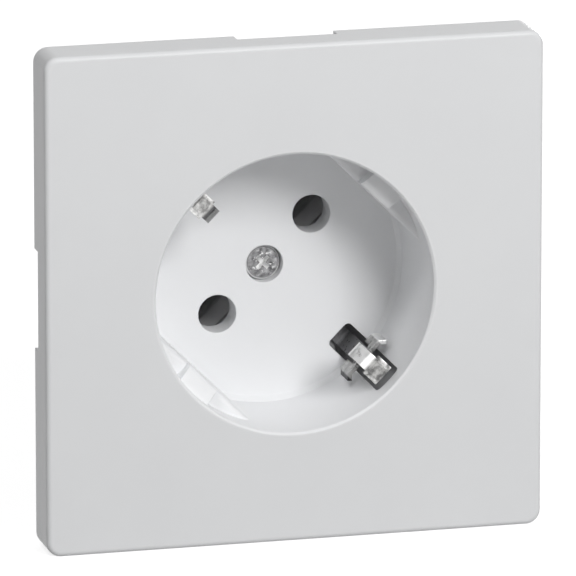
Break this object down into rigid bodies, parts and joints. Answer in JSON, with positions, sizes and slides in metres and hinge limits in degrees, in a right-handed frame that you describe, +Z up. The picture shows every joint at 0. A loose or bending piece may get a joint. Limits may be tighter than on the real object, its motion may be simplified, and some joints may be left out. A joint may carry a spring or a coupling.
{
  "type": "type f wall socket",
  "caption": "Flush type F socket outlet: square cover with a round plug recess turned by 45 degrees, side earth clips, steel yoke and round insert behind it.",
  "frame": {"origin": "on the recess axis in the wall plane, which is also the centre of the four corner holes of the yoke", "axes": "-Y points out of the wall towards the plug, +Y into the wall, +Z up, +X to the right as seen from the front"},
  "size_m": [0.07, 0.0384, 0.07],
  "materials": {
    "cover_plastic": "smooth, slightly glossy light grey moulding",
    "insert_plastic": "matt dark grey moulding",
    "yoke_steel": "zinc plated sheet",
    "rivet_steel": "zinc plated",
    "bridge_brass": "plain rolled strip",
    "contact_metal": "nickel plated strip",
    "clip_metal": "nickel plated strip",
    "screw_steel": "zinc plated",
    "clamp_steel": "zinc plated",
    "spring_steel": "bare spring steel"
  },
  "bodies": {
    "root": {"cover_plate": "cover_plastic", "mounting_yoke": "yoke_steel", "yoke_rivet_right": "rivet_steel", "yoke_rivet_left": "rivet_steel", "contact_cover": "insert_plastic", "socket_base": "insert_plastic", "earth_bridge": "bridge_brass", "centre_screw": "screw_steel", "earth_clip_upper": "clip_metal", "earth_clip_lower": "clip_metal", "line_contact": "contact_metal", "line_contact_spring": "spring_steel", "line_clamp_plate": "clamp_steel", "line_terminal_screw": "screw_steel", "neutral_contact": "contact_metal", "neutral_contact_spring": "spring_steel", "neutral_clamp_plate": "clamp_steel", "neutral_terminal_screw": "screw_steel", "earth_clamp_plate": "clamp_steel", "earth_terminal_screw": "screw_steel"}
  },
  "joints": []
}
